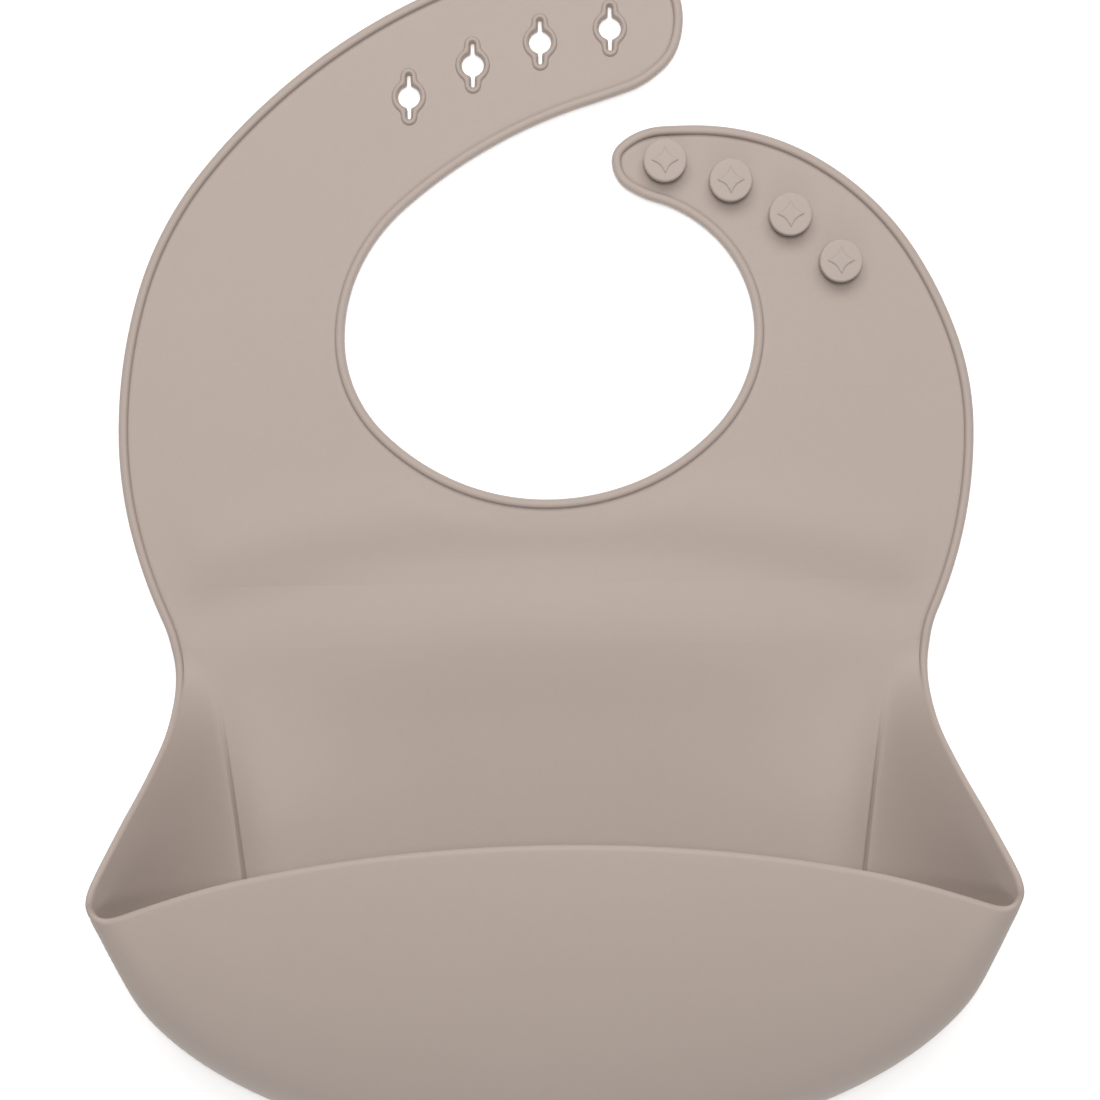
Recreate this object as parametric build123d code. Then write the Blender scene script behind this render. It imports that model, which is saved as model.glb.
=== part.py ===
from build123d import *
from math import asin, cos, degrees, hypot, radians, sin, sqrt, tan
import os

# A moulded silicone bib lying flat on its back.  Millimetres, +Z up through the sheet.
# The origin is the centre of the neck opening on the back plane, +Y runs up the wearer's chest
# towards the straps, and +X runs towards the button strap.

# ---------------------------------------------------------------- driving dimensions
sheet_thickness = 1.8
rim_height = 3.2
rim_width = 2.5
rim_rounding = 0.8

neck_half_width = 50.2
neck_drop = 41.5
collar_half_width = 105.0
collar_widest_y = -25.0
waist_half_width = 92.0
waist_y = -84.0
waist_flare = 3.0
waist_flare_rise = 14.2

slot_tip_x = 15.9
slot_tip_y = 75.8
slot_tip_radius = 18.4
slot_arc_radius = 149.9
slot_arc_x = 31.4
slot_arc_y = -56.2
slot_pitch = 17.4
slot_inset = 19.4
slot_first_angle = 96.6
slot_hole_diameter = 5.9
slot_slit_width = 1.4
slot_slit_length = 11.4
slot_collar_width = 1.25
slot_collar_height = 0.8
slot_count = 4

button_tip_x = 16.4
button_tip_y = 41.0
button_strap_top = 49.4
button_pitch = 16.7
button_arc_radius = 74.1
button_arc_x = 15.0
button_arc_y = -32.3
button_first_angle = 78.9
button_count = 4
button_head_diameter = 10.5
button_head_height = 2.6
button_neck_diameter = 4.9
button_neck_height = 2.4
button_star_size = 6.6
button_star_height = 0.35
button_star_hollow = 0.27
button_edge_radius = 0.65

pocket_depth = 42.0
pocket_half_width = 109.0
pocket_mouth_y = -133.0
pocket_wall = 1.8
pocket_drop = 98.0
side_wall_start = 54.6
lip_y = -122.0
lip_bow = 16.7
lip_width = 3.0
front_arc_radius = 155.0
front_slope = 5.0

crease_top_half_width = 86.0
crease_half_width = 78.0
back_drop = 55.0
gusset_full_y = -135.0
gusset_steps = 5
gusset_overrun = 2.0
gusset_flare_power = 1.6

flex_clearance = 0.12
chest_fold_angle = 50.0
strap_curl_angle = 30.0
pocket_clearance = 0.4
gusset_clearance = 0.4

lower_fold_y = -70.0
upper_fold_y = -56.0
slot_folds = (180.0, 146.0, 112.0)
button_folds = (0.0, 31.3)

# ---------------------------------------------------------------- derived values
reach = 3 * pocket_half_width
fold_slit = rim_height * tan(radians(chest_fold_angle / 2)) + flex_clearance
curl_slit = rim_height * tan(radians(strap_curl_angle / 2)) + flex_clearance
slot_arc_centre = Vector(slot_arc_x, slot_arc_y)
slot_row_radius = slot_arc_radius - slot_inset
side_run = pocket_half_width - crease_half_width
bottom_run = pocket_drop - back_drop
side_wall_run = pocket_wall * hypot(side_run, pocket_depth) / pocket_depth
bottom_wall_run = pocket_wall * hypot(bottom_run, pocket_depth) / pocket_depth


def polar(radius, angle, centre=Vector(0, 0)):
    """A point at a distance and an angle in degrees from a centre."""
    return centre + Vector(radius * cos(radians(angle)), radius * sin(radians(angle)))


def biarc(start, start_angle, end, end_angle):
    """Two tangent arcs that join two points with the directions given in degrees."""
    first = polar(1, start_angle)
    last = polar(1, end_angle)
    gap = end - start
    along = gap.dot(first + last)
    turn = 2 * (first.dot(last) - 1)
    if abs(turn) < 1e-9:
        reach_in = gap.dot(gap) / (2 * along)
    else:
        reach_in = (along - sqrt(along * along - turn * gap.dot(gap))) / turn
    middle = (start + first * reach_in + end - last * reach_in) * 0.5
    lead_in = TangentArc(start, middle, tangent=first)
    return [lead_in, TangentArc(middle, end, tangent=lead_in % 1)]


def smooth_run(stations):
    """A chain of biarcs through (x, y, direction) stations."""
    edges = []
    for (x0, y0, a0), (x1, y1, a1) in zip(stations, stations[1:]):
        edges += biarc(Vector(x0, y0), a0, Vector(x1, y1), a1)
    return edges


# ---------------------------------------------------------------- outline of the flat part
def right_stations():
    """Waist, collar and button strap, counter-clockwise from the waist."""
    return [
        (waist_half_width, waist_y, 90),
        (waist_half_width + waist_flare - 0.5, waist_y + waist_flare_rise, 66),
        (collar_half_width - 1.1, collar_widest_y, 90),
        (collar_half_width - 14.5, collar_widest_y + 42.8, 122),
        (button_tip_x + 19.6, button_strap_top, 180),
        (button_tip_x + 5.5, button_tip_y + 6.5, 206),
        (button_tip_x, button_tip_y, 270),
        (button_tip_x + 3.8, button_tip_y - 7.0, 327),
        (button_tip_x + 10.8, button_tip_y - 10.2, 343.5),
    ]


def neck_stations():
    """The neck opening, clockwise from its upper right to its upper left."""
    return [
        (neck_half_width * 0.82, neck_drop * 0.538, 315),
        (neck_half_width + 0.5, -0.6, 270),
        (neck_half_width * 0.801, -neck_drop * 0.605, 225),
        (0, -neck_drop, 180),
        (-neck_half_width * 0.797, -neck_drop * 0.598, 135),
        (-neck_half_width + 0.7, -2.0, 90),
        (-neck_half_width * 0.685, neck_drop * 0.723, 40.8),
    ]


def left_stations():
    """Slot strap and collar, counter-clockwise to the waist."""
    return [
        (slot_tip_x - 13.9, slot_tip_y - 24.0, 21),
        (slot_tip_x + 4.7, slot_tip_y - 17.8, 19),
        (slot_tip_x + 13.7, slot_tip_y - 12.2, 43),
        (slot_tip_x + slot_tip_radius, slot_tip_y, 90),
        (slot_tip_x - 1.4, slot_tip_y + slot_tip_radius - 0.5, 186.5),
        (21.1 - collar_half_width, 39.7, 230.5),
        (-collar_half_width, collar_widest_y, 270),
        (-waist_half_width - waist_flare, waist_y + waist_flare_rise, 294),
        (-waist_half_width, waist_y, 270),
    ]


def outline_face():
    """The flat part's outline, closed below the waist."""
    edges = smooth_run(right_stations() + neck_stations() + left_stations())
    below = waist_y - 20
    edges += [
        Line((-waist_half_width, waist_y), (-waist_half_width, below)),
        Line((-waist_half_width, below), (waist_half_width, below)),
        Line((waist_half_width, below), (waist_half_width, waist_y)),
    ]
    return make_face(edges)


def prism(face, height, base=0.0):
    """A face raised along +Z."""
    return extrude(Pos(0, 0, base) * face, amount=height, dir=(0, 0, 1))


def block(x_range, y_range, z_range):
    """A block between two limits on each axis."""
    size = [high - low for low, high in (x_range, y_range, z_range)]
    middle = [(high + low) / 2 for low, high in (x_range, y_range, z_range)]
    return Pos(*middle) * Box(*size)


# ---------------------------------------------------------------- flex lines and bodies
def radial_slit(angle):
    """A slit across a strap, along a ray from the neck centre."""
    middle = polar(reach / 2, angle)
    return Pos(middle.X, middle.Y, 0) * Rot(0, 0, angle) * Box(reach, curl_slit, reach)


def cross_slit(y):
    """A slit across the whole width of the chest."""
    return Pos(0, y, 0) * Box(2 * reach, fold_slit, reach)


def sector(start_angle, end_angle):
    """A wedge from the neck centre between two rays."""
    corners = [Vector(0, 0), polar(reach, start_angle), polar(reach, end_angle)]
    return prism(make_face(Polyline(*corners, close=True)), reach, -reach / 2)


def band(y_low, y_high):
    """A block across the whole width between two heights on the chest."""
    return block((-reach, reach), (y_low, y_high), (-reach / 2, reach / 2))


def nearest(shape, point):
    """The solid of a shape whose centre lies closest to a point."""
    return min(shape.solids(), key=lambda solid: (solid.center() - point).length)


def body_regions():
    """The column of space that each flexing body of the flat sheet keeps."""
    column = prism(outline_face(), reach, -reach / 2)
    for y in (lower_fold_y, upper_fold_y):
        column -= cross_slit(y)
    flat = {
        "waist": column & band(lower_fold_y, upper_fold_y),
        "chest": column & band(upper_fold_y, 0),
    }
    for angle in slot_folds:
        column -= radial_slit(angle)
    flat["slot_strap_root"] = column & sector(slot_folds[0], slot_folds[1])
    flat["slot_strap_middle"] = column & sector(slot_folds[1], slot_folds[2])
    for angle in button_folds:
        column -= radial_slit(angle)
    flat["button_strap_root"] = column & sector(button_folds[1], button_folds[0])
    tips = column & sector(slot_folds[2], button_folds[1])
    flat["slot_strap_end"] = nearest(tips, Vector(slot_tip_x, slot_tip_y))
    flat["button_strap_end"] = nearest(tips, Vector(button_tip_x + button_pitch, button_tip_y))
    for angle in (slot_folds[0], button_folds[0]):
        flat["chest"] -= radial_slit(angle)
    return flat


# ---------------------------------------------------------------- slots and buttons
def slot_outline(diameter, slit_width, slit_length):
    """A round hole with a short slit above and below it."""
    slit = SlotOverall(slit_length, slit_width)
    return Circle(diameter / 2) + Rot(0, 0, 90) * slit


def slot_hole():
    """The opening that a button is pushed through, cut right through the sheet."""
    return prism(slot_outline(slot_hole_diameter, slot_slit_width, slot_slit_length), reach, -reach / 2)


def slot_collar():
    """The raised bead round one slot."""
    wide = 2 * slot_collar_width
    outer = slot_outline(slot_hole_diameter + wide, slot_slit_width + wide, slot_slit_length + wide)
    inner = slot_outline(slot_hole_diameter, slot_slit_width, slot_slit_length)
    return prism(outer - inner, slot_collar_height, sheet_thickness)


def slot_places():
    """Slot centres, from the strap's tip backwards."""
    step = 2 * degrees(asin(slot_pitch / 2 / slot_row_radius))
    return [polar(slot_row_radius, slot_first_angle + step * i, slot_arc_centre) for i in range(slot_count)]


def button_places():
    """Button centres, from the strap's tip backwards."""
    step = 2 * degrees(asin(button_pitch / 2 / button_arc_radius))
    centre = Vector(button_arc_x, button_arc_y)
    return [polar(button_arc_radius, button_first_angle - step * i, centre) for i in range(button_count)]


def star_face(size):
    """A four-pointed star with hollow sides, its points on the axes."""
    tips = [polar(size / 2, 90 * i) for i in range(4)]
    hollows = [polar(size * button_star_hollow, 90 * i + 45) for i in range(4)]
    sides = [ThreePointArc(tips[i], hollows[i], tips[(i + 1) % 4]) for i in range(4)]
    return make_face(sides)


def button():
    """A neck, a flat round head with eased edges, and a raised star on it."""
    neck = prism(Circle(button_neck_diameter / 2), button_neck_height, sheet_thickness)
    head_base = sheet_thickness + button_neck_height
    head = prism(Circle(button_head_diameter / 2), button_head_height, head_base)
    head = fillet(head.edges(), button_edge_radius)
    star = prism(star_face(button_star_size), button_star_height, head_base + button_head_height)
    return neck + head + star


# ---------------------------------------------------------------- flat sheet and its rims
def rim_solid(outline, inside):
    """The raised rim all round the flat sheet, its upper edges rounded."""
    rim = prism(outline - inside, rim_height)
    top = rim.faces().sort_by(Axis.Z)[-1]
    return fillet(top.edges(), rim_rounding)


def split_rim(rim, prefix, parts):
    """Two strips of rim: the one nearer to the neck centre is the inner one."""
    strips = sorted(rim.solids(), key=lambda solid: solid.center().length)
    parts[prefix + "_inner_rim"] = strips[0]
    parts[prefix + "_outer_rim"] = strips[1]


def side_rims(rim, prefix, parts):
    """The left and right strips of rim on one body."""
    strips = sorted(rim.solids(), key=lambda solid: solid.center().X)
    parts["left_" + prefix + "_rim"] = strips[0]
    parts["right_" + prefix + "_rim"] = strips[-1]
    return strips[1:-1]


def flat_parts():
    """Sheet panels and rims of every body above the pocket."""
    outline = outline_face()
    inside = offset(outline, -rim_width)
    rim = rim_solid(outline, inside)
    sheet = prism(inside, sheet_thickness)
    for place in slot_places():
        sheet -= Pos(place.X, place.Y, 0) * slot_hole()
    parts = {}
    for body, region in body_regions().items():
        parts[body + "_panel"] = sheet & region
        body_rim = rim & region
        if body == "waist":
            side_rims(body_rim, "waist", parts)
        elif body == "chest":
            parts["neck_rim"] = side_rims(body_rim, "chest", parts)[0]
        elif body.endswith("_end"):
            parts[body + "_rim"] = body_rim
        else:
            split_rim(body_rim, body, parts)
    return parts


def fastener_parts():
    """Slot collars and buttons, numbered from the tip of each strap."""
    parts = {}
    for number, place in enumerate(slot_places(), 1):
        parts[f"slot_collar_{number}"] = Pos(place.X, place.Y, 0) * slot_collar()
    for number, place in enumerate(button_places(), 1):
        parts[f"button_{number}"] = Pos(place.X, place.Y, 0) * button()
    return parts


# ---------------------------------------------------------------- pocket
def lip_face(clearance):
    """Everything below the bowed lip line, in plan."""
    side = pocket_half_width
    centre_y = lip_y + clearance
    side_y = centre_y - lip_bow
    bow = ThreePointArc((-side, side_y), (0, centre_y), (side, side_y))
    far_x = 2 * side
    far_y = pocket_mouth_y - 2 * pocket_drop
    right = [(side, side_y), (far_x, side_y), (far_x, far_y)]
    left = [(-x, y) for x, y in reversed(right)]
    return make_face([bow] + Polyline(*right, *left).edges())


def lip_y_at(x):
    """How far up the chest the lip line lies at a distance from the middle."""
    radius = (pocket_half_width ** 2 + lip_bow ** 2) / (2 * lip_bow)
    return lip_y - radius + sqrt(radius * radius - x * x)


def below_lip(clearance=0.0):
    """The space below the bowed lip line."""
    return prism(lip_face(clearance), reach, -reach / 2)


def half_oval(half_width, drop, z):
    """The pocket's plan at one height: straight sides above a half ellipse."""
    top_y = lip_y + lip_bow
    bowl = EllipticalCenterArc((0, pocket_mouth_y), half_width, drop, start_angle=180, arc_size=180)
    right = [(half_width, pocket_mouth_y), (half_width, top_y)]
    left = [(-x, y) for x, y in reversed(right)]
    sides = Polyline(*right, *left)
    return Pos(0, 0, z) * make_face([bowl] + sides.edges())


def flared_bowl(side_inset, bottom_inset):
    """The pocket's spreading wall surface as a solid, wider towards the front."""
    back = half_oval(crease_half_width - side_inset, back_drop - bottom_inset, 0)
    overrun = 1.1
    wide = crease_half_width + side_run * overrun - side_inset
    deep = back_drop + bottom_run * overrun - bottom_inset
    front = half_oval(wide, deep, pocket_depth * overrun)
    return loft([back, front], ruled=True)


def under_front(inset):
    """The space behind the gently arched front wall."""
    centre_y = lip_y + front_arc_radius * sin(radians(front_slope))
    centre_z = pocket_depth - front_arc_radius * cos(radians(front_slope))
    drum = Pos(0, centre_y, centre_z) * Rot(0, 90, 0) * Cylinder(front_arc_radius - inset, reach)
    keep = block((-reach, reach), (-reach, lip_y + lip_bow), (0, reach))
    return drum & keep


def pocket_parts():
    """Front wall, lip, and the side and bottom walls of the pocket."""
    inner_bowl = flared_bowl(side_wall_run, bottom_wall_run)
    shell = (flared_bowl(0, 0) & under_front(0)) - (inner_bowl & under_front(pocket_wall))
    shell = shell & below_lip()
    front = shell & inner_bowl
    walls = shell - inner_bowl
    middle = block((-side_wall_start, side_wall_start), (-reach, reach), (-reach, reach))
    sides = sorted((walls - middle).solids(), key=lambda solid: solid.center().X)
    return {
        "pocket_front": front & below_lip(-lip_width),
        "pocket_lip": front - below_lip(-lip_width),
        "pocket_left_side": sides[0],
        "pocket_right_side": sides[-1],
        "pocket_bottom": walls & middle,
    }


# ---------------------------------------------------------------- lower panel and gussets
def gusset_section(y):
    """The gusset's cross-section at a height on the chest: flat at the fold, full at the mouth."""
    run = (lower_fold_y - y) / (lower_fold_y - gusset_full_y)
    share = min(1, run)
    rise = share * share * (3 - 2 * share)
    foot = crease_top_half_width + (crease_half_width - crease_top_half_width) * run
    height = rim_height - pocket_wall + (pocket_depth - rim_height) * rise
    below_waist = min(1, max(0, waist_y - y) / (waist_y - gusset_full_y))
    above_waist = max(0, y - waist_y) / (lower_fold_y - waist_y)
    edge = waist_half_width + waist_flare * above_waist * above_waist
    edge += (pocket_half_width - waist_half_width) * below_waist ** gusset_flare_power
    slope = Vector(edge - foot, height)
    lean = Vector(-slope.Y, slope.X) * (pocket_wall / slope.length)
    corners = [(foot, 0), (edge, height), (edge + lean.X, height + lean.Y), (foot + lean.X, lean.Y)]
    return make_face(Polyline(*[(x, y, z) for x, z in corners], close=True))


def gusset():
    """The right-hand gusset, from the waist to the mouth of the pocket."""
    step = (lower_fold_y - gusset_full_y) / gusset_steps
    heights = [lower_fold_y - step * i for i in range(gusset_steps + 1)]
    heights.append(lip_y - lip_bow - gusset_overrun)
    spread = loft([gusset_section(y) for y in heights])
    return spread - cross_slit(lower_fold_y) - below_lip(gusset_clearance)


def lower_parts():
    """The back panel behind the pocket, with a gusset on each side."""
    right = gusset()
    left = mirror(right, about=Plane.YZ)
    half_width = crease_half_width - side_wall_run - pocket_clearance
    drop = back_drop - bottom_wall_run - pocket_clearance
    bowl = EllipticalCenterArc((0, pocket_mouth_y), half_width, drop, start_angle=180, arc_size=180)
    notch_y = lip_y_at(crease_half_width - side_wall_run) + gusset_clearance
    corners = [
        (half_width, pocket_mouth_y),
        (half_width, notch_y),
        (crease_half_width, notch_y),
        (crease_top_half_width, lower_fold_y),
    ]
    mirrored = [(-x, y) for x, y in reversed(corners)]
    sides = Polyline(*corners, *mirrored)
    panel = prism(make_face([bowl] + sides.edges()), sheet_thickness)
    return {
        "lower_panel": panel - cross_slit(lower_fold_y) - right - left,
        "left_gusset": left,
        "right_gusset": right,
    }


os.makedirs("parts", exist_ok=True)
for name, shape in (flat_parts() | fastener_parts() | pocket_parts() | lower_parts()).items():
    export_step(shape, f"parts/{name}.step")
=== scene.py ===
from math import asin, ceil, cos, exp, hypot, pi, radians, sin, sqrt

import bpy
import numpy as np
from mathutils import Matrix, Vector
from mathutils.geometry import delaunay_2d_cdt


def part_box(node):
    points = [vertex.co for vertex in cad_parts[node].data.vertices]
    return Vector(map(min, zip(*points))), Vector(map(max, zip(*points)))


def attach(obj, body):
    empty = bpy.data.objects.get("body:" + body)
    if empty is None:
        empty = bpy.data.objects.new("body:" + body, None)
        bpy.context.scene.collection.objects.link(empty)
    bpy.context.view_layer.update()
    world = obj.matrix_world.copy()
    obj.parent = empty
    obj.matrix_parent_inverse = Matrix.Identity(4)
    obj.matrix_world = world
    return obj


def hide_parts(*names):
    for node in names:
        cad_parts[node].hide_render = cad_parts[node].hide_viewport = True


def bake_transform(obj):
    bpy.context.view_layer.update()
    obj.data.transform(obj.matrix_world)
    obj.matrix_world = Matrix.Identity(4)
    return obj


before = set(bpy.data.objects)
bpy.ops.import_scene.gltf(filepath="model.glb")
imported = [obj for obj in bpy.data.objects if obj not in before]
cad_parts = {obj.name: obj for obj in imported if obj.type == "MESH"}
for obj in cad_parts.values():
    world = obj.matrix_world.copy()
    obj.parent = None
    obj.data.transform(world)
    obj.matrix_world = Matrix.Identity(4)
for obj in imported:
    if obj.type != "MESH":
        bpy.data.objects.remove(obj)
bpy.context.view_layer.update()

# A moulded silicone bib lying on its back. Shapes are worked out in millimetres and the meshes are
# written in metres. The neck opening's centre is the origin and +Y runs up towards the straps.
MM = 0.001


def node_span(name):
    """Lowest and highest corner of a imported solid, in millimetres."""
    low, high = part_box(name)
    return low / MM, high / MM


def node_middle(name):
    """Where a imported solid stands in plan, in millimetres."""
    low, high = node_span(name)
    return (low.x + high.x) / 2, (low.y + high.y) / 2


# ------------------------------------------------------------------ the moulding's main sizes
sheet_top = node_span("chest_panel")[1].z
collar_half = -node_span("left_chest_rim")[0].x
collar_widest_y = -25.0
neck_half, neck_drop = 50.2, 41.5
waist_half, waist_y = 92.0, -84.0
slot_tip_x, slot_tip_y, slot_tip_radius = 15.9, 75.8, 18.4
button_tip_x, button_tip_y, button_strap_top = 16.4, 41.0, 49.4
# half of the panel between the gussets, at the fold and at the pocket's mouth
foot_top, foot_low = 84.5, 76.3
fold_y = node_span("waist_panel")[0].y
mouth_y = -133.0
bowl_drop = 55.0
front_radius, front_slope, lip_y = 155.0, radians(5.0), -122.0
lip_height = node_span("pocket_lip")[1].z
# how far apart the points of a filled face stand
grid_gap = 3.0

# lines along which the skin is divided, each where the silicone doesn't bend
LOWER_CUT, WAIST_CUT, CHEST_CUT, COLLAR_CUT = -77.0, -63.0, -14.0, 12.0
STRAP_CUT = radians(129.5)


def smooth(t):
    """0 to 1 with flat ends."""
    t = min(1.0, max(0.0, t))
    return t * t * (3 - 2 * t)


def mound(distance, middle, width, power=2):
    """1 at the middle, fading to nothing about two widths away."""
    return exp(-(((distance - middle) / width) ** power))


def between(one, two, share):
    """A profile part of the way from one to another."""
    return [(a + (c - a) * share, b + (d - b) * share) for (a, b), (c, d) in zip(one, two)]


# ------------------------------------------------------------------ curves
def arc_samples(start, heading, end, gap):
    """Points and headings along the arc that leaves start in a heading and reaches end."""
    chord = end - start
    length = chord.length
    along = Vector((cos(heading), sin(heading)))
    turn = asin(max(-1.0, min(1.0, (along.x * chord.y - along.y * chord.x) / length)))
    if along.dot(chord) < 0:
        turn = (pi if turn > 0 else -pi) - turn
    run = length if abs(turn) < 1e-6 else length * turn / sin(turn)
    count = max(2, ceil(run / gap), ceil(abs(2 * turn) / radians(5)))
    found = []
    for i in range(count):
        share = i / count
        if abs(turn) < 1e-6:
            reach = length * share
        else:
            reach = length * sin(turn * share) / sin(turn)
        way = heading + turn * share
        found.append((start.x + reach * cos(way), start.y + reach * sin(way), heading + 2 * turn * share))
    return found, heading + 2 * turn


def smooth_run(stations, gap=1.5):
    """Points (x, y, heading) along tangent arcs through stations (x, y, heading in degrees)."""
    found = []
    for (x0, y0, a0), (x1, y1, a1) in zip(stations, stations[1:]):
        start, end = Vector((x0, y0)), Vector((x1, y1))
        first = Vector((cos(radians(a0)), sin(radians(a0))))
        last = Vector((cos(radians(a1)), sin(radians(a1))))
        gap_line = end - start
        along = gap_line.dot(first + last)
        turn = 2 * (first.dot(last) - 1)
        if abs(turn) < 1e-9:
            reach = gap_line.dot(gap_line) / (2 * along)
        else:
            reach = (along - sqrt(along * along - turn * gap_line.dot(gap_line))) / turn
        middle = (start + first * reach + end - last * reach) / 2
        part, heading = arc_samples(start, radians(a0), middle, gap)
        found += part
        part, heading = arc_samples(middle, heading, end, gap)
        found += part
    x, y, a = stations[-1]
    found.append((x, y, found[-1][2] + (radians(a) - found[-1][2] + pi) % (2 * pi) - pi))
    return found


def outer_right():
    """Waist, collar and button strap, anticlockwise."""
    return [
        (waist_half, waist_y, 90),
        (waist_half + 2.5, waist_y + 14.2, 66),
        (collar_half - 1.1, collar_widest_y, 90),
        (collar_half - 14.5, collar_widest_y + 42.8, 122),
        (button_tip_x + 19.6, button_strap_top, 180),
        (button_tip_x + 5.5, button_tip_y + 6.5, 206),
        (button_tip_x, button_tip_y, 270),
        (button_tip_x + 3.8, button_tip_y - 7.0, 327),
        (button_tip_x + 10.8, button_tip_y - 10.2, 343.5),
    ]


def neck_line():
    """The neck opening, from its upper right down and round to its upper left."""
    return [
        (neck_half * 0.82, neck_drop * 0.538, 315),
        (neck_half + 0.5, -0.6, 270),
        (neck_half * 0.801, -neck_drop * 0.605, 225),
        (0, -neck_drop, 180),
        (-neck_half * 0.797, -neck_drop * 0.598, 135),
        (-neck_half + 0.7, -2.0, 90),
        (-neck_half * 0.685, neck_drop * 0.723, 40.8),
    ]


def outer_left():
    """Slot strap and collar, down to the waist."""
    return [
        (slot_tip_x - 13.9, slot_tip_y - 24.0, 21),
        (slot_tip_x + 4.7, slot_tip_y - 17.8, 19),
        (slot_tip_x + 13.7, slot_tip_y - 12.2, 43),
        (slot_tip_x + slot_tip_radius, slot_tip_y, 90),
        (slot_tip_x - 1.4, slot_tip_y + slot_tip_radius - 0.5, 186.5),
        (21.1 - collar_half, 39.7, 230.5),
        (-collar_half, collar_widest_y, 270),
        (-waist_half - 3, waist_y + 14.2, 294),
        (-waist_half, waist_y, 270),
    ]


def level(y):
    """How far a station lies above a line across the bib."""
    return lambda station: station[1] - y


def past_strap_cut(station):
    """How far a station lies round the neck from the strap's dividing ray."""
    return sin(STRAP_CUT) * station[0] - cos(STRAP_CUT) * station[1]


class Edge:
    """The flat sheet's outline as stations, with an extra station wherever a dividing line meets it."""

    def __init__(self):
        self.stations = smooth_run(outer_right() + neck_line() + outer_left())
        self.places = {}
        self.divide("lower right", level(LOWER_CUT), 0)
        self.divide("waist right", level(WAIST_CUT), 0)
        self.divide("chest right", level(CHEST_CUT), 0)
        self.divide("collar right", level(COLLAR_CUT), 0)
        self.divide("neck collar right", level(COLLAR_CUT), 1)
        self.divide("neck chest right", level(CHEST_CUT), 1)
        self.divide("neck chest left", level(CHEST_CUT), 2)
        self.divide("neck collar left", level(COLLAR_CUT), 2)
        self.divide("neck strap", past_strap_cut, 0, lambda s: s[0] < 0 < s[1])
        self.divide("strap", past_strap_cut, 1, lambda s: s[0] < 0 < s[1])
        self.divide("collar left", level(COLLAR_CUT), 3)
        self.divide("chest left", level(CHEST_CUT), 3)
        self.divide("waist left", level(WAIST_CUT), 1)
        self.divide("lower left", level(LOWER_CUT), 1)
        self.places = {name: self.stations.index(s) for name, s in self.places.items()}

    def divide(self, name, height, which, wanted=lambda station: True):
        """Names the station where a line crosses the outline, the crossings counted from 0."""
        crossing = -1
        for i, (one, two) in enumerate(zip(self.stations, self.stations[1:])):
            before, after = height(one), height(two)
            if (before < 0) != (after < 0) and wanted(one):
                crossing += 1
                if crossing == which:
                    share = before / (before - after)
                    made = tuple(p + (q - p) * share for p, q in zip(one, two))
                    if 0.05 < share < 0.95:
                        self.stations.insert(i + 1, made)
                    else:
                        # a station stands there already
                        made = one if share < 0.5 else two
                    self.places[name] = made
                    return
        raise ValueError(name)

    def strip(self, start, end):
        """The stations between two named places, both included."""
        return self.stations[self.places[start]:self.places[end] + 1]


# ------------------------------------------------------------------ cross-sections of the edge
# (distance in from the edge, height above the back), from the face over the edge to the back
BEAD = [
    (3.6, 1.8), (2.9, 1.8), (2.62, 1.77), (2.44, 1.72), (2.33, 1.78), (2.27, 2.05), (2.2, 2.5),
    (2.06, 2.88), (1.8, 3.1), (1.3, 3.2), (0.65, 3.15), (0.25, 2.86), (0.04, 2.35), (0.0, 1.2),
    (0.03, 0.5), (0.15, 0.18), (0.4, 0.03), (0.8, 0.0), (3.6, 0.0),
]
PLAIN = [
    (3.6, 1.8), (3.0, 1.8), (2.5, 1.8), (2.0, 1.8), (1.6, 1.8), (1.25, 1.8), (0.95, 1.77),
    (0.68, 1.69), (0.42, 1.55), (0.2, 1.35), (0.06, 1.12), (0.0, 0.9), (0.06, 0.66), (0.2, 0.43),
    (0.42, 0.24), (0.7, 0.1), (1.0, 0.02), (1.4, 0.0), (3.6, 0.0),
]
EDGE_WIDTH = BEAD[0][0]
# below the waist the bead turns square to the side, and fades away into the pocket's plain edge
SQUARE_RUN, BEAD_FADE_RUN = 12.0, 16.0

# the sheet's slow waves follow a bowed line across the chest; places are measured up from that line
WAVE_LINE_Y, WAVE_LINE_BOW, WAVE_LINE_HALF = -50.0, 11.0, 86.0
RIDGE_HEIGHT, RIDGE_PLACE, RIDGE_WIDTH = 0.7, 8.0, 8.0
FURROW_DEPTH, FURROW_PLACE, FURROW_WIDTH = 0.9, -7.0, 7.5
BELLY_HEIGHT, BELLY_PLACE, BELLY_WIDTH, BELLY_HALF = 1.5, -23.0, 15.0, 62.0
# ridge and furrow die out a little short of the neck's rim and of the side rims
NECK_SCALE, NECK_CLEARANCE, NECK_FADE = 42.0, 3.5, 5.0
SIDE_X, SIDE_FADE = 94.0, 10.0
# the panel beside a gusset stands up out of the crease and falls away towards the middle
FOLD_HEIGHT, FOLD_STEEPNESS, FOLD_WIDTH = 4.6, 5.5, 24.0
FOLD_START_Y, FOLD_FULL_RUN, FOLD_END_Y, FOLD_END_RUN = -82.0, 40.0, -152.0, 18.0


def foot_x(y):
    """Where the gusset leaves the panel, at a place down the bib."""
    return foot_top + (foot_low - foot_top) * (fold_y - y) / (fold_y - mouth_y)


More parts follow.
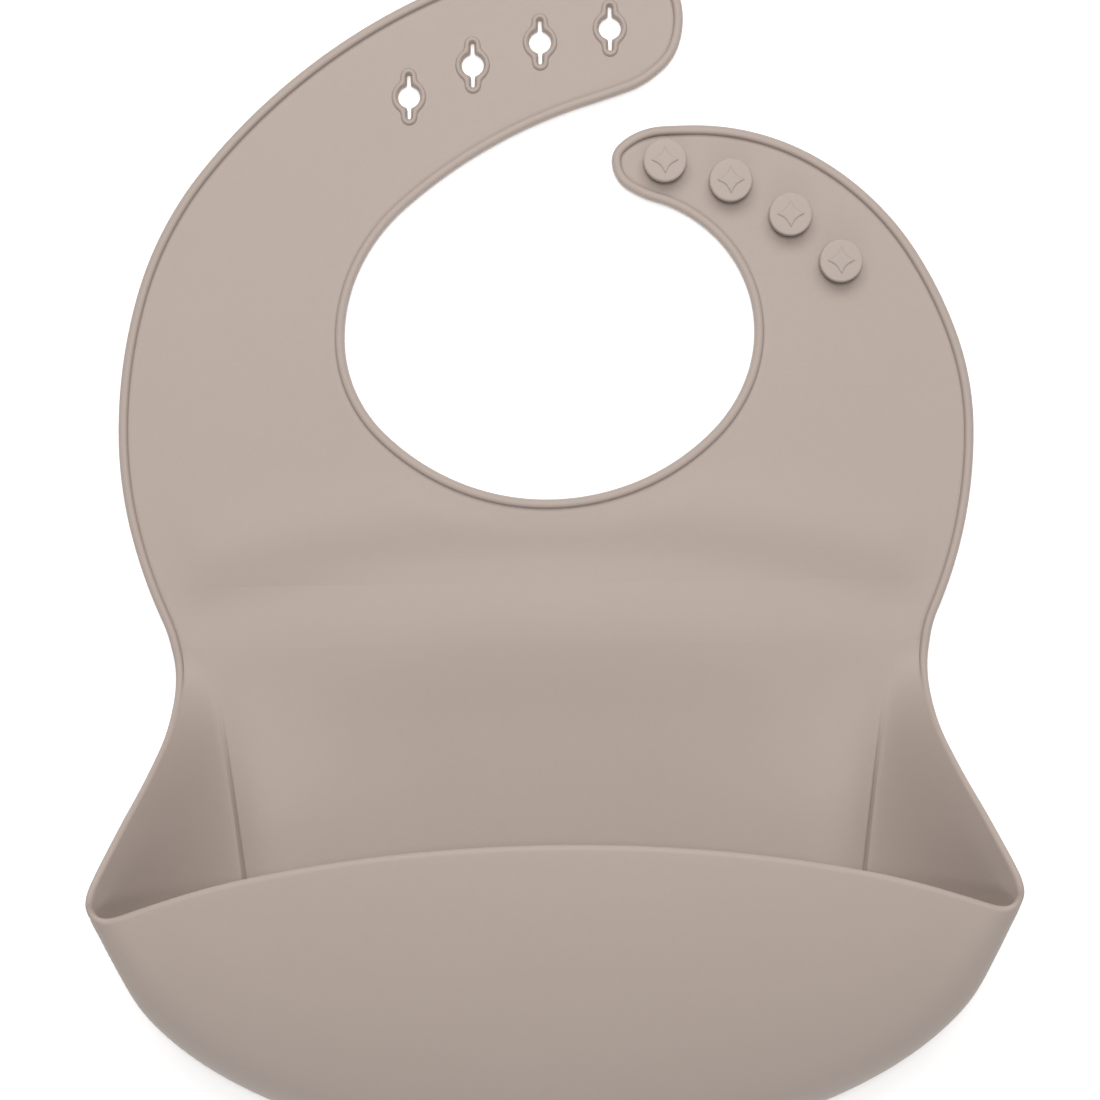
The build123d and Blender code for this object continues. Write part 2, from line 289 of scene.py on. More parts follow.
def swell(x, y):
    """Slow rise and fall of the sheet's face, in millimetres."""
    up = y - WAVE_LINE_Y + WAVE_LINE_BOW * (x / WAVE_LINE_HALF) ** 2
    from_neck = (hypot(x / neck_half, y / neck_drop) - 1) * NECK_SCALE
    off_neck = smooth((from_neck - NECK_CLEARANCE) / NECK_FADE)
    off_rims = smooth((SIDE_X - abs(x)) / SIDE_FADE)
    ridge = RIDGE_HEIGHT * mound(up, RIDGE_PLACE, RIDGE_WIDTH)
    furrow = FURROW_DEPTH * mound(up, FURROW_PLACE, FURROW_WIDTH)
    belly = BELLY_HEIGHT * mound(up, BELLY_PLACE, BELLY_WIDTH) * mound(x, 0.0, BELLY_HALF, 4)
    inside_foot = max(0.0, foot_x(y) - abs(x))
    fold = FOLD_HEIGHT * (1 - exp(-inside_foot / FOLD_STEEPNESS)) * mound(inside_foot, 0.0, FOLD_WIDTH)
    fold *= smooth((FOLD_START_Y - y) / FOLD_FULL_RUN) * smooth((y - FOLD_END_Y) / FOLD_END_RUN)
    return (ridge - furrow) * off_neck * off_rims + belly + fold


def settled(x, y, height):
    """A height in the sheet's thickness, after the swell. The back never dips below the floor."""
    rise = swell(x, y)
    return height + (rise if height > sheet_top / 2 else max(0.0, rise))


# ------------------------------------------------------------------ meshes
class Skin:
    """Collects points in millimetres and faces, and makes one closed mesh of them."""

    def __init__(self):
        self.points = []
        self.faces = []
        self.finishes = []

    def point(self, x, y, z):
        self.points.append((x * MM, y * MM, z * MM))
        return len(self.points) - 1

    def face(self, corners, finish=0):
        self.faces.append(tuple(corners))
        self.finishes.append(finish)

    def lay(self, rows, finish=0, ring=False):
        """Quads between neighbouring rows of points of equal length."""
        for low, high in zip(rows, rows[1:]):
            count = len(low)
            for i in range(count if ring else count - 1):
                j = (i + 1) % count
                self.face((low[i], low[j], high[j], high[i]), finish)

    def cap(self, ring, x, y, z, from_below=False):
        """Closes a ring with triangles about a middle point."""
        middle = self.point(x, y, z)
        for one, two in zip(ring, ring[1:] + ring[:1]):
            self.face((two, one, middle) if from_below else (one, two, middle))

    def piece(self, name, finishes, sharp=40):
        """The object, with its edges kept crisp above an angle."""
        mesh = bpy.data.meshes.new(name)
        mesh.from_pydata(self.points, [], self.faces)
        for finish in finishes:
            mesh.materials.append(finish)
        mesh.polygons.foreach_set("material_index", self.finishes)
        mesh.polygons.foreach_set("use_smooth", [True] * len(self.faces))
        mesh.update()
        mesh.set_sharp_from_angle(angle=radians(sharp))
        made = bpy.data.objects.new(name, mesh)
        bpy.context.scene.collection.objects.link(made)
        return made


def inside(points, loop):
    """Which of the points lie inside a closed loop."""
    x, y = points[:, 0], points[:, 1]
    within = np.zeros(len(points), bool)
    for (x0, y0), (x1, y1) in zip(loop, np.roll(loop, -1, axis=0)):
        crosses = (y0 > y) != (y1 > y)
        if y0 != y1:
            within ^= crosses & (x < (x1 - x0) * (y - y0) / (y1 - y0) + x0)
    return within


def clear_of(points, loop, gap):
    """Which of the points keep a distance from every corner of a loop."""
    apart = np.hypot(points[:, None, 0] - loop[None, :, 0], points[:, None, 1] - loop[None, :, 1])
    return apart.min(axis=1) > gap


def fill(loop, holes, gap):
    """Extra points on an even grid inside a loop, and triangles over them all, clear of the holes."""
    loop = np.array(loop)
    low, high = loop.min(axis=0), loop.max(axis=0)
    columns = np.arange(low[0] + gap / 2, high[0], gap)
    rows = np.arange(low[1] + gap / 2, high[1], gap)
    grid = np.array([(x + (gap / 2 if i % 2 else 0), y) for i, y in enumerate(rows) for x in columns])
    grid = grid[inside(grid, loop) & clear_of(grid, loop, gap * 0.6)]
    for hole in holes:
        grid = grid[~inside(grid, np.array(hole)) & clear_of(grid, np.array(hole), gap * 0.6)]
    every = np.vstack([loop] + [np.array(hole) for hole in holes] + [grid])
    edges, start = [], 0
    for ring in [loop] + list(holes):
        count = len(ring)
        edges += [(start + i, start + (i + 1) % count) for i in range(count)]
        start += count
    made = delaunay_2d_cdt([Vector(p) for p in every], edges, [], 0, 1e-6)
    back = [origin[0] for origin in made[3]]
    triangles = np.array([[back[i] for i in face] for face in made[2]])
    middles = every[triangles].mean(axis=1)
    a, b, c = (every[triangles[:, k]] for k in range(3))
    area = abs((b[:, 0] - a[:, 0]) * (c[:, 1] - a[:, 1]) - (c[:, 0] - a[:, 0]) * (b[:, 1] - a[:, 1]))
    keep = inside(middles, loop) & (area > 0.002)
    for hole in holes:
        keep &= ~inside(middles, np.array(hole))
    return [tuple(p) for p in grid], [tuple(t) for t in triangles[keep]]


# ------------------------------------------------------------------ button slots
SLOT_RADIUS, SLIT_HALF_WIDTH, SLIT_REACH = 2.95, 0.7, 5.7
# (distance out from the hole's outline, height), from the face over the collar and down the hole
SLOT_COLLAR = [
    (1.5, 1.8), (1.3, 1.8), (1.22, 2.05), (1.1, 2.34), (0.88, 2.55), (0.6, 2.62), (0.34, 2.54),
    (0.14, 2.32), (0.04, 2.0), (-0.02, 1.7), (-0.16, 1.58), (-0.24, 1.45), (-0.26, 0.9),
    (-0.26, 0.15), (-0.2, 0.0),
]


def slot_reach(angle, out):
    """How far a slot's outline lies from its middle: a round hole with a slit above and below."""
    radius, half, tip = SLOT_RADIUS + out, SLIT_HALF_WIDTH + out, SLIT_REACH + out
    across, up = abs(sin(angle)), abs(cos(angle))
    cap = tip - half
    slit = half / max(across, 1e-6)
    if slit * up > cap:
        slit = cap * up + sqrt(max(0.0, half * half - cap * cap * across * across))
    # a high power keeps the larger of the two and eases the corner between them
    power = 8
    return (radius ** power + slit ** power) ** (1 / power)


def slot_ring(out, count=16):
    """Evenly spaced points round a slot's outline, anticlockwise from its top."""
    fine = np.linspace(0, pi / 2, 400)
    reach = np.array([slot_reach(a, out) for a in fine])
    x, y = -reach * np.sin(fine), reach * np.cos(fine)
    run = np.concatenate([[0], np.cumsum(np.hypot(np.diff(x), np.diff(y)))])
    spots = np.linspace(0, run[-1], count + 1)
    quarter = list(zip(np.interp(spots, run, x), np.interp(spots, run, y)))
    half = quarter + [(px, -py) for px, py in reversed(quarter[:-1])]
    return half + [(-px, py) for px, py in reversed(half[1:-1])]


# ------------------------------------------------------------------ the flat skin
class Sheet(Skin):
    """A skin with a face and a back, filled in between its edge sections and round its holes."""

    def __init__(self):
        super().__init__()
        # the filled part's outline in plan, and every place's pair of points on the face and the back
        self.outline = []
        self.pairs = []

    def plan(self, point):
        """Where a point lies in plan, in millimetres."""
        x, y, _ = self.points[point]
        return x / MM, y / MM

    def pair(self, x, y):
        """A new point on the swelling face and one on the back below it."""
        made = self.point(x, y, settled(x, y, sheet_top)), self.point(x, y, settled(x, y, 0.0))
        self.pairs.append(made)
        return made

    def border(self, section):
        """Takes the inner ends of an edge section into the outline."""
        self.outline.append(self.plan(section[0]))
        self.pairs.append((section[0], section[-1]))

    def divide(self, end, start):
        """Carries the outline straight from one edge section to the next, and closes the cut."""
        here, there = self.plan(end[0]), self.plan(start[0])
        count = max(2, round(hypot(there[0] - here[0], there[1] - here[1]) / grid_gap))
        line = [(end[0], end[-1])]
        for i in range(1, count):
            x = here[0] + (there[0] - here[0]) * i / count
            y = here[1] + (there[1] - here[1]) * i / count
            line.append(self.pair(x, y))
            self.outline.append((x, y))
        line.append((start[0], start[-1]))
        for (top, back), (next_top, next_back) in zip(line, line[1:]):
            self.face((top, back, next_back, next_top))
        self.face(reversed(end))
        self.face(start)

    def fill_in(self, holes=()):
        """Covers the outline's inside, face and back, clear of the holes."""
        grid, triangles = fill(self.outline, holes, grid_gap)
        for x, y in grid:
            self.pair(x, y)
        for corners in triangles:
            a, b, c = (self.pairs[corner] for corner in corners)
            self.face((a[0], b[0], c[0]))
            self.face((c[1], b[1], a[1]))


def edge_points(skin, station):
    """One cross-section of the raised edge, from the face round to the back."""
    x, y, heading = station
    # the section turns square to the side where it meets the pocket's skin
    if y < LOWER_CUT + SQUARE_RUN:
        square = pi / 2 if x > 0 else 3 * pi / 2
        heading = square + (heading - square) * smooth((y - LOWER_CUT) / SQUARE_RUN)
    inward = (-sin(heading), cos(heading))
    return [skin.point(x + inward[0] * a, y + inward[1] * a, h) for a, h in BEAD]


def flat_skin(name, strips, finishes, slots=()):
    """A flat piece of the bib: strips of edge joined by dividing lines, with the slots in it."""
    skin = Sheet()
    sections = [[edge_points(skin, station) for station in strip] for strip in strips]
    for k, rows in enumerate(sections):
        skin.lay(rows, 1)
        for row in rows:
            skin.border(row)
        skin.divide(rows[-1], sections[(k + 1) % len(sections)][0])
    holes = []
    for x, y in slots:
        rings = []
        for out, height in SLOT_COLLAR:
            rings.append([skin.point(x + px, y + py, height) for px, py in slot_ring(out)])
        rings.append([skin.point(x + px, y + py, 0) for px, py in slot_ring(SLOT_COLLAR[0][0])])
        skin.lay(rings, 1, ring=True)
        holes.append([skin.plan(point) for point in rings[0]])
        skin.pairs += zip(rings[0], rings[-1])
    skin.fill_in(holes)
    return skin.piece(name, finishes)


# ------------------------------------------------------------------ pocket, gussets and lower panel
CORNER = (108.9, -133.8)
# free edges, as stations (x, y, heading in degrees): down the gusset, then along the pocket's lip
GUSSET_EDGE = [
    (waist_half, waist_y, 270), (93.4, -96.5, 283.5), (97.2, -107.0, 292.5), (102.3, -118.0, 294.5),
    (107.9, -130.0, 294.5), (*CORNER, 270),
]
LIP_EDGE = [(*CORNER, 270), (103.3, -138.2, 161), (72.0, -129.1, 168.5), (0.0, lip_y, 180)]

# the pocket's widest line is a quarter of an oval, a little hollow below the corner
OVAL_HALF, OVAL_DROP = CORNER[0], 67.2
HOLLOW_DEPTH, HOLLOW_TURN, HOLLOW_WIDTH = 1.7, 0.26, 0.16

# how a gusset and the pocket's wall climb, as pulls (share out, share up) from foot to top
GUSSET_PULL = [(0.0, 0.0), (1 / 3, 0.16), (2 / 3, 0.57), (1.0, 1.0)]
WALL_PULL = [(0.0, 0.0), (0.38, 0.27), (0.97, 0.66), (1.0, 1.0)]
CLIMB_POINTS = 25

# the rounded shoulder from wall to front, and the front's crown: at the corners, and grown by the middle
SHOULDER_REACH, SHOULDER_REACH_GROWTH = 7.0, 4.0
SHOULDER_DEPTH, SHOULDER_DEPTH_GROWTH = 6.0, 2.5
CROWN_HEIGHT, CROWN_RUN, CROWN_FULL_RUN = 3.0, 30, 40

# a column starts this far inside the crease, which is a pinched groove along the gusset's foot
LEAD_IN, FOOT_EASE = 12.0, 2.5
CREASE_DEPTH, CREASE_WIDTH = 1.3, 0.5
CREASE_START_Y, CREASE_FULL_RUN, CREASE_END_Y, CREASE_END_RUN = -86.0, 36.0, -150.0, 14.0


def front_z(y):
    """Height of the front wall's gentle arch."""
    centre_y = lip_y + front_radius * sin(front_slope)
    centre_z = lip_height - front_radius * cos(front_slope)
    return centre_z + sqrt(front_radius ** 2 - (y - centre_y) ** 2)


def climb(pull):
    """Points (share out, share up) along the curve that four pulls draw."""
    found = []
    for k in range(CLIMB_POINTS):
        t = k / (CLIMB_POINTS - 1)
        mix = ((1 - t) ** 3, 3 * t * (1 - t) ** 2, 3 * t * t * (1 - t), t ** 3)
        found.append(tuple(sum(m * p[i] for m, p in zip(mix, pull)) for i in (0, 1)))
    return found


def gusset_columns(waist_station, count=44):
    """The gusset's outside: at each place down the bib, a column from the panel to the free edge."""
    line = smooth_run([waist_station] + GUSSET_EDGE, 0.5)[::-1]
    xs, ys, _ = zip(*line)
    columns = []
    for i in range(count):
        y = LOWER_CUT + (CORNER[1] - LOWER_CUT) * i / count
        share = (LOWER_CUT - y) / (LOWER_CUT - CORNER[1])
        rise = front_z(CORNER[1]) * smooth(share)
        foot = foot_x(y)
        edge = float(np.interp(y, ys, xs))
        side = [(foot + (edge - foot) * out, y, rise * up) for out, up in climb(GUSSET_PULL)]
        columns.append([(foot - LEAD_IN, y, 0)] + side)
    return columns


def run_along(line):
    """How far each point of a line lies from its start, measured along it."""
    return np.concatenate([[0], np.cumsum(np.linalg.norm(np.diff(line, axis=0), axis=1))])


def rounding(travelled, reach, depth):
    """How far a rounded shoulder has risen at a distance in from its side."""
    return depth * sqrt(max(0.0, 1 - (1 - min(travelled, reach) / reach) ** 2))


def pocket_columns(count=64):
    """The pocket's outside, columns from the panel out over the wall and the front to the lip."""
    lip = np.array([p[:2] for p in smooth_run(LIP_EDGE, 0.3)])
    lip_run = run_along(lip)
    turn = np.linspace(0, pi / 2, 600)
    hollow = HOLLOW_DEPTH * np.exp(-(((turn - HOLLOW_TURN) / HOLLOW_WIDTH) ** 2))
    side = np.stack([OVAL_HALF * np.cos(turn) - hollow, CORNER[1] - OVAL_DROP * np.sin(turn)], axis=1)
    side[0] = CORNER
    side_run = run_along(side)
    columns = []
    for i in range(count + 1):
        # columns stand closer together by the corner
        share = (i / count) ** 1.3
        lip_spot = share * lip_run[-1]
        side_spot = share * side_run[-1]
        top = Vector([np.interp(lip_spot, lip_run, lip[:, k]) for k in (0, 1)])
        angle = float(np.interp(side_spot, side_run, turn))
        wide = Vector([np.interp(side_spot, side_run, side[:, k]) for k in (0, 1)])
        foot = Vector((foot_low * cos(angle), mouth_y - bowl_drop * sin(angle)))
        outward = Vector((cos(angle) / OVAL_HALF, -sin(angle) / OVAL_DROP)).normalized()
        fullness = smooth(share / 0.3)
        path = [wide]
        knee = wide - outward * (0.36 * (top - wide).length)
        for k in range(1, 61):
            t = (k / 60) ** 1.6
            path.append(wide * (1 - t) ** 2 + knee * (2 * t * (1 - t)) + top * t * t)
        run = np.cumsum([0.0] + [(b - a).length for a, b in zip(path, path[1:])])
        reach = SHOULDER_REACH + SHOULDER_REACH_GROWTH * fullness
        depth = min(SHOULDER_DEPTH + SHOULDER_DEPTH_GROWTH * fullness, 0.62 * front_z(wide.y))
        shoulder = rounding(run[-1], reach, depth)
        crown = CROWN_HEIGHT * fullness * min(1.0, run[-1] / CROWN_FULL_RUN)
        wide_z = front_z(wide.y) - shoulder - crown
        wall = []
        for out, up in climb(between(GUSSET_PULL, WALL_PULL, fullness)):
            spot = foot + (wide - foot) * out
            wall.append((spot.x, spot.y, wide_z * up))
        front = []
        if run[-1] > 0.01:
            for spot, gone in zip(path[1:], run[1:]):
                drop = shoulder - rounding(gone, reach, depth)
                drop += crown * max(0.0, 1 - gone / CROWN_RUN) ** 2
                front.append((spot.x, spot.y, front_z(spot.y) - drop))
        start = foot - outward * LEAD_IN
        columns.append([(start.x, start.y, 0.0)] + wall + front)
    return columns


def eased(points):
    """A column with the corner at its second point, the gusset's foot, drawn into a smooth bend."""
    corner = Vector(points[1])
    before = (Vector(points[0]) - corner).normalized()
    rest = [Vector(p) for p in points[1:]]
    gone, k = 0.0, 0
    while k + 2 < len(rest) and gone + (rest[k + 1] - rest[k]).length < FOOT_EASE:
        gone += (rest[k + 1] - rest[k]).length
        k += 1
    step = rest[k + 1] - rest[k]
    leave = rest[k] + step * min(1.0, (FOOT_EASE - gone) / step.length)
    enter = corner + before * FOOT_EASE
    bend = []
    for i in range(9):
        t = i / 8
        bend.append(enter * (1 - t) ** 2 + corner * (2 * t * (1 - t)) + leave * t * t)
    return [Vector(points[0])] + bend + rest[k + 1:]


def resampled(points, count):
    """A column as evenly spaced points."""
    line = np.array([tuple(p) for p in points])
    run = run_along(line)
    spots = np.linspace(0, run[-1], count)
    return np.stack([np.interp(spots, run, line[:, k]) for k in range(3)], axis=1)


def relaxed(grid, passes):
    """A grid of points with its inner rows drawn towards their neighbours, a few times over."""
    for _ in range(passes):
        grid[1:-1] = (grid[:-2] + 2 * grid[1:-1] + grid[2:]) / 4
    return grid


def lower_place(line, leans, length, back, height):
    """Where the lower skin stands at a distance back from a column's free end and up its thickness."""
    last = len(line) - 1
    place = min(max((length - back) / length, 0.0), 1.0) * last
    k = min(int(place), last - 1)
    t = place - k
    lean = leans[k] * (1 - t) + leans[k + 1] * t
    x, y, z = line[k] * (1 - t) + line[k + 1] * t + lean / np.linalg.norm(lean) * height
    gone = length - back
    if gone < LEAD_IN + 1:
        z += settled(x, y, height) - height
    if height > sheet_top / 2 and gone < LEAD_IN + 4:
        pinch = smooth((CREASE_START_Y - y) / CREASE_FULL_RUN) * smooth((y - CREASE_END_Y) / CREASE_END_RUN)
        z -= CREASE_DEPTH * pinch * mound(gone, LEAD_IN, CREASE_WIDTH)
    return x, y, z


def lower_skin(name, finishes, waist_right, waist_left):
    """Lower panel, gussets and pocket as one closed sheet with a rounded free edge."""
    column_points = 161
    half = []
    for x, y, heading in (waist_right, waist_left):
        downward = pi + heading if x > 0 else pi - heading
        columns = gusset_columns((abs(x), y, downward * 180 / pi)) + pocket_columns()
        half.append([resampled(eased(points), column_points) for points in columns])
    outside = np.array(half[0] + [line * np.array([-1, 1, 1]) for line in half[1][-2::-1]])
    outside = relaxed(outside.swapaxes(0, 1), 4).swapaxes(0, 1)
    outside = relaxed(outside, 2)
    lengths = np.linalg.norm(np.diff(outside, axis=1), axis=2).sum(axis=1)
    along = np.gradient(outside, axis=0)
    across = np.gradient(outside, axis=1)
    # the first and last columns meet the waist's skin square on
    along[0] = along[-1] = 0
    along[0, :, 1], along[-1, :, 1] = -1, 1
    # square to the skin, towards the side that is the face
    inward = np.cross(along, across)
    inward /= np.linalg.norm(inward, axis=2, keepdims=True)
    inward *= np.sign(inward[0, 0, 2])
    # distances from a column's start, close together about the crease
    near_crease = [1.5 * k for k in range(7)] + [10.0 + 0.25 * k for k in range(18)]
    beyond = 60
    skin = Sheet()
    rows = []
    for line, leans, length in zip(outside, inward, lengths):
        rest = length - near_crease[-1] - EDGE_WIDTH
        backs = [length - gone for gone in near_crease]
        backs += [EDGE_WIDTH + rest * (1 - k / beyond) for k in range(1, beyond)]
        rim = between(BEAD, PLAIN, smooth((LOWER_CUT - line[-1, 1]) / BEAD_FADE_RUN))
        places = [(back, sheet_top) for back in backs] + rim + [(back, 0.0) for back in reversed(backs)]
        rows.append([skin.point(*lower_place(line, leans, length, *place)) for place in places])
    skin.lay(rows)
    for row in rows:
        skin.border(row)
    skin.divide(rows[-1], rows[0])
    skin.fill_in()
    return skin.piece(name, finishes)


# ------------------------------------------------------------------ buttons
BUTTON_STEPS = 72
NECK_RADIUS, HEAD_THICKNESS, HEAD_EASE = 2.45, 2.6, 0.45
STAR_HEIGHT, STAR_REACH, STAR_SAG, STAR_SIDE_STEPS = 0.35, 3.3, 0.235, 14
# (distance in from the star's outline, height above the head)
STAR_EDGE = [(0.0, -0.25), (0.0, 0.18), (0.05, 0.29), (0.16, 0.34), (0.9, STAR_HEIGHT)]


def button_profile(head, top):
    """(radius, height) from the sheet up the flared neck and over the head with its eased edges."""
    under = top - HEAD_THICKNESS
    neck, eased_in = NECK_RADIUS, head - HEAD_EASE
    profile = [
        (neck + 0.35, sheet_top - 0.5), (neck + 0.35, sheet_top - 0.05), (neck + 0.12, sheet_top + 0.2),
        (neck, sheet_top + 0.6), (neck, under - 0.4), (neck + 0.3, under - 0.08), (neck + 0.8, under),
        (head - HEAD_EASE * 1.4, under),
    ]
    for k in range(7):
        turn = -pi / 2 + pi / 2 * k / 6
        profile.append((eased_in + HEAD_EASE * cos(turn), under + HEAD_EASE + HEAD_EASE * sin(turn)))
    for k in range(9):
        turn = pi / 2 * k / 8
        profile.append((eased_in + HEAD_EASE * cos(turn), top - HEAD_EASE + HEAD_EASE * sin(turn)))
    return profile + [(eased_in - 0.5, top + 0.01), (head * 0.5, top + 0.02)]


def star_outline(inset):
    """A four-pointed star about its middle, each side an arc that sags inwards."""
    tip = STAR_REACH - inset
    found = []
    for side in range(4):
        a, b = pi / 2 * side, pi / 2 * (side + 1)
        for k in range(STAR_SIDE_STEPS):
            t = k / STAR_SIDE_STEPS
            sag = 1 - (STAR_SAG + 0.05 * inset) * 4 * t * (1 - t)
            px = tip * (cos(a) * (1 - t) + cos(b) * t)
            py = tip * (sin(a) * (1 - t) + sin(b) * t)
            found.append((px * sag, py * sag))
    return found


def button_piece(node, finishes):
    """A neck flared into the sheet, a flat head with eased edges, and a raised star on the head."""
    low, high = node_span(node)
    x, y = node_middle(node)
    top = high.z - STAR_HEIGHT
    profile = button_profile((high.x - low.x) / 2, top)
    turns = [2 * pi * i / BUTTON_STEPS for i in range(BUTTON_STEPS)]
    skin = Skin()
    rings = []
    for radius, z in profile:
        rings.append([skin.point(x + radius * cos(turn), y + radius * sin(turn), z) for turn in turns])
    skin.lay(rings, ring=True)
    skin.cap(rings[0], x, y, profile[0][1], from_below=True)
    skin.cap(rings[-1], x, y, profile[-1][1])
    star = []
    for inset, rise in STAR_EDGE:
        star.append([skin.point(x + px, y + py, top + rise) for px, py in star_outline(inset)])
    skin.lay(star, ring=True)
    skin.cap(star[0], x, y, top + STAR_EDGE[0][1], from_below=True)
    skin.cap(star[-1], x, y, top + STAR_HEIGHT)
    return skin.piece(node + "_cap", finishes, sharp=50)


# ------------------------------------------------------------------ silicone
class Flow:
    """A shader socket that takes part in plain arithmetic."""

    def __init__(self, tree, socket):
        self.tree = tree
        self.socket = socket

    def math(self, operation, one, two):
        return add_node(self.tree, "ShaderNodeMath", {"operation": operation}, {0: one, 1: two})

    def __add__(self, other):
        return self.math("ADD", self, other)

    def __radd__(self, other):
        return self.math("ADD", other, self)

    def __mul__(self, other):
        return self.math("MULTIPLY", self, other)

    def __rmul__(self, other):
        return self.math("MULTIPLY", other, self)


def add_node(tree, kind, settings, inputs, output=0):
    """One shader node: settings first, then the values or links of its sockets. Gives an output."""
    node = tree.nodes.new(kind)
    for key, value in settings.items():
        setattr(node, key, value)
    for key, value in inputs.items():
        if isinstance(value, Flow):
            tree.links.new(value.socket, node.inputs[key])
        else:
            node.inputs[key].default_value = value
    return Flow(tree, node.outputs[output]) if node.outputs else None


def grain(tree, place, scale, detail):
    """Noise of a given fineness over the material."""
    return add_node(
        tree, "ShaderNodeTexNoise", {}, {"Vector": place, "Scale": scale, "Detail": detail}, "Fac"
    )


def silicone(name, colour, shade, roughness):
    """Matte moulded silicone: a soft powdery skin with faint clouding and a very fine tooth."""
    material = bpy.data.materials.new(name)
    material.use_nodes = True
    tree = material.node_tree
    tree.nodes.clear()
    place = add_node(tree, "ShaderNodeTexCoord", {}, {}, "Object")
    clouds = grain(tree, place, 28.0, 3.0)
    powder = grain(tree, place, 900.0, 2.0)
    tooth = grain(tree, place, 3200.0, 2.0)
    # a colour mix takes its factor at 0 and its colours at 6 and 7, and gives its colour at 2
    tint = add_node(
        tree, "ShaderNodeMix", {"data_type": "RGBA"},
        {0: clouds * 0.6 + powder * 0.4, 6: (*shade, 1.0), 7: (*colour, 1.0)}, 2,
    )
    bump = add_node(
        tree, "ShaderNodeBump", {}, {"Strength": 0.12, "Distance": 0.0002, "Height": tooth + powder * 0.8}
    )
    surface = add_node(
        tree, "ShaderNodeBsdfPrincipled", {},
        {
            "Base Color": tint, "Roughness": powder * 0.10 + (roughness - 0.05), "Normal": bump,
            "IOR": 1.41, "Specular IOR Level": 0.42, "Sheen Weight": 0.12, "Sheen Roughness": 0.5,
            "Subsurface Weight": 0.06, "Subsurface Radius": (0.004, 0.002, 0.0015), "Subsurface Scale": 1.0,
        },
    )
    add_node(tree, "ShaderNodeOutputMaterial", {}, {"Surface": surface})
    return material


sheet_silicone = silicone("sheet_silicone", (0.422, 0.352, 0.311), (0.403, 0.334, 0.293), 0.56)
rim_silicone = silicone("rim_silicone", (0.424, 0.354, 0.313), (0.407, 0.338, 0.297), 0.54)
button_silicone = silicone("button_silicone", (0.424, 0.354, 0.314), (0.409, 0.340, 0.300), 0.52)

# ------------------------------------------------------------------ pieces and the bodies they follow
strip = Edge().strip
slot_places = [node_middle(f"slot_collar_{i}") for i in (1, 2, 3, 4)]
sheet_and_rim = [sheet_silicone, rim_silicone]

waist_skin = flat_skin(
    "waist_skin", [strip("lower right", "waist right"), strip("waist left", "lower left")],
    sheet_and_rim,
)
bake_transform(waist_skin)
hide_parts("waist_panel", "left_waist_rim", "right_waist_rim")

chest_skin = flat_skin(
    "chest_skin",
    [strip("waist right", "chest right"), strip("neck chest right", "neck chest left"),
     strip("chest left", "waist left")],
    sheet_and_rim,
)
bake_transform(chest_skin)
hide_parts("chest_panel", "neck_rim", "left_chest_rim", "right_chest_rim")

right_collar_skin = flat_skin(
    "right_collar_skin",
    [strip("chest right", "collar right"), strip("neck collar right", "neck chest right")], sheet_and_rim,
)
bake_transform(right_collar_skin)

button_strap_skin = flat_skin(
    "button_strap_skin", [strip("collar right", "neck collar right")], sheet_and_rim
)
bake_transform(button_strap_skin)
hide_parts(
    "button_strap_root_panel", "button_strap_root_inner_rim",
    "button_strap_root_outer_rim", "button_strap_end_panel", "button_strap_end_rim",
)

left_collar_skin = flat_skin(
    "left_collar_skin",
    [strip("neck chest left", "neck collar left"), strip("collar left", "chest left")], sheet_and_rim,
)
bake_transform(left_collar_skin)
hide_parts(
    "slot_strap_root_panel", "slot_strap_root_inner_rim", "slot_strap_root_outer_rim"
)

slot_strap_middle_skin = flat_skin(
    "slot_strap_middle_skin",
    [strip("neck collar left", "neck strap"), strip("strap", "collar left")], sheet_and_rim,
)
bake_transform(slot_strap_middle_skin)
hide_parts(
    "slot_strap_middle_panel", "slot_strap_middle_inner_rim",
    "slot_strap_middle_outer_rim",
)

slot_strap_skin = flat_skin("slot_strap_skin", [strip("neck strap", "strap")], sheet_and_rim, slot_places)
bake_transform(slot_strap_skin)
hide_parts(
    "slot_strap_end_panel", "slot_strap_end_rim",
    "slot_collar_1", "slot_collar_2", "slot_collar_3", "slot_collar_4",
)

pocket_skin = lower_skin(
    "pocket_skin", [sheet_silicone], strip("lower right", "waist right")[0],
    strip("waist left", "lower left")[-1],
)
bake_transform(pocket_skin)
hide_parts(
    "lower_panel", "left_gusset", "right_gusset", "pocket_front", "pocket_lip",
    "pocket_left_side", "pocket_right_side", "pocket_bottom",
)

for number, body in (
    (1, "button_strap_end"), (2, "button_strap_end"), (3, "button_strap_root"), (4, "button_strap_root")
):
    cap = button_piece(f"button_{number}", [button_silicone])
    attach(cap, body)
    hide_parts(f"button_{number}")

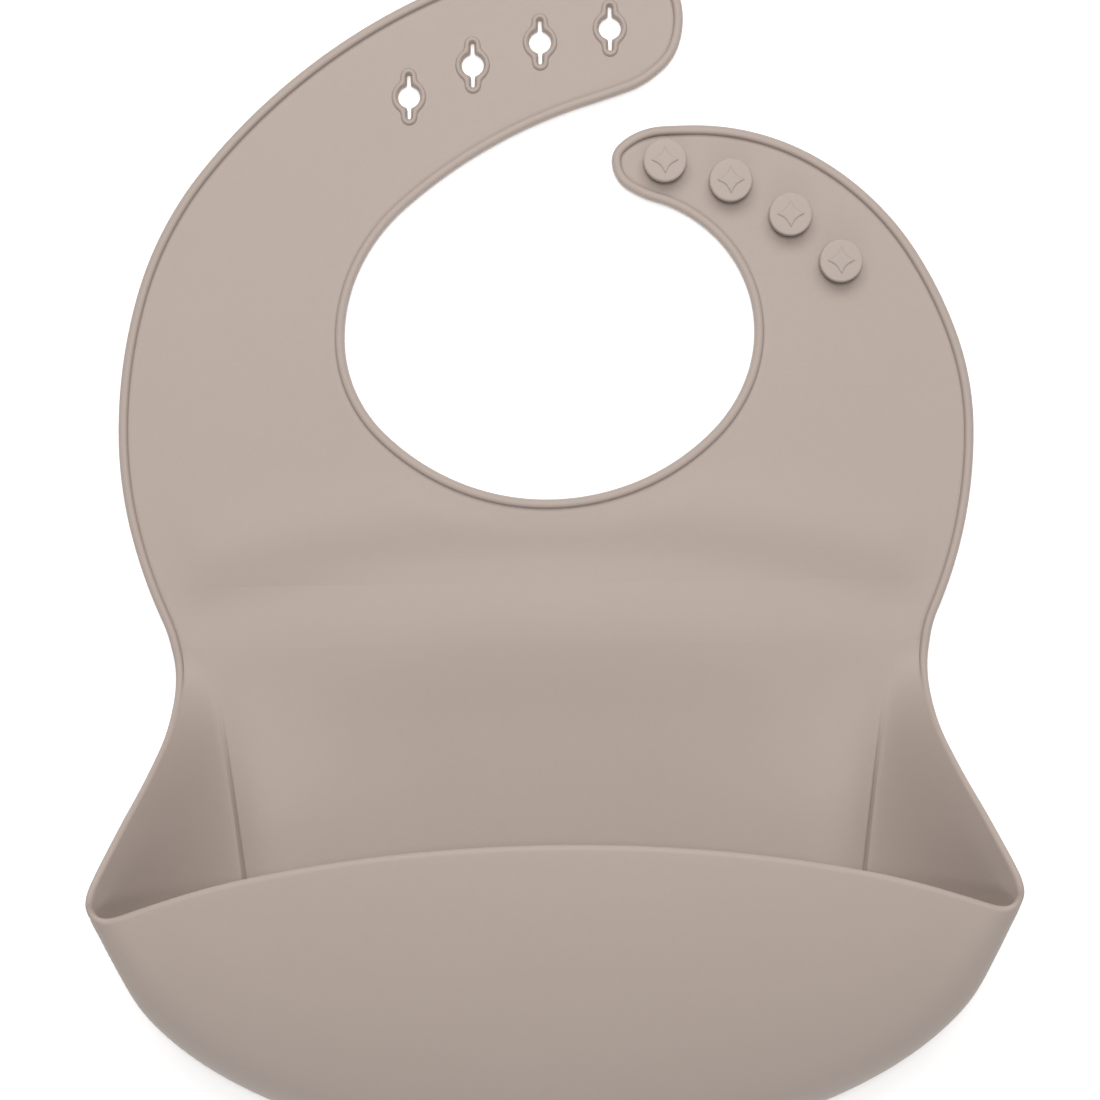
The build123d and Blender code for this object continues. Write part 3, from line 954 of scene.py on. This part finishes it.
# ------------------------------------------------------------------ floor, light and camera
scene = bpy.context.scene
FLOOR_HALF, FLOOR_DROP = 4.0, 0.0003
floor_corners = [(x * FLOOR_HALF, y * FLOOR_HALF, 0) for x, y in ((-1, -1), (1, -1), (1, 1), (-1, 1))]
floor_mesh = bpy.data.meshes.new("floor")
floor_mesh.from_pydata(floor_corners, [], [(0, 1, 2, 3)])
floor = bpy.data.objects.new("floor", floor_mesh)
floor.location.z = -FLOOR_DROP
scene.collection.objects.link(floor)
pale_floor = bpy.data.materials.new("pale_floor")
pale_floor.use_nodes = True
floor_shader = pale_floor.node_tree.nodes["Principled BSDF"]
for socket, value in (
    ("Base Color", (0.93, 0.93, 0.93, 1)), ("Roughness", 0.9), ("Specular IOR Level", 0.0),
    ("Emission Color", (1, 1, 1, 1)), ("Emission Strength", 0.25),
):
    floor_shader.inputs[socket].default_value = value
floor_mesh.materials.append(pale_floor)


def softbox(name, place, aim, width, height, power):
    """A rectangular studio light turned towards a point."""
    lamp = bpy.data.lights.new(name, "AREA")
    lamp.shape = "RECTANGLE"
    lamp.size, lamp.size_y = width, height
    lamp.energy = power
    box = bpy.data.objects.new(name, lamp)
    box.location = place
    box.rotation_euler = (Vector(aim) - Vector(place)).to_track_quat("-Z", "Y").to_euler()
    scene.collection.objects.link(box)


softbox("key_softbox", (0.0, 0.55, 0.95), (0, -0.05, 0), 0.9, 0.6, 7.0)
softbox("top_softbox", (0.0, 0.12, 1.5), (0, -0.05, 0), 0.3, 0.3, 9.2)
softbox("front_softbox", (0.0, -0.8, 0.55), (0, -0.15, 0), 0.6, 0.4, 0.9)
world = bpy.data.worlds.new("studio")
world.use_nodes = True
background = world.node_tree.nodes["Background"]
background.inputs["Color"].default_value = (1, 1, 1, 1)
background.inputs["Strength"].default_value = 0.25
scene.world = world
scene.view_settings.view_transform = "Standard"

# straight above the bib and turned a little; the frame cuts off the strap's top and the pocket's end
camera_height, camera_y, camera_turn, frame_width = 0.700, -0.0539, radians(-0.8), 0.2695
camera_data = bpy.data.cameras.new("camera")
camera = bpy.data.objects.new("camera", camera_data)
camera_data.sensor_width = 36.0
camera_data.lens = camera_data.sensor_width * camera_height / frame_width
camera.location = (0.0, camera_y, camera_height)
camera.rotation_euler = (0.0, 0.0, camera_turn)
scene.collection.objects.link(camera)
scene.camera = camera
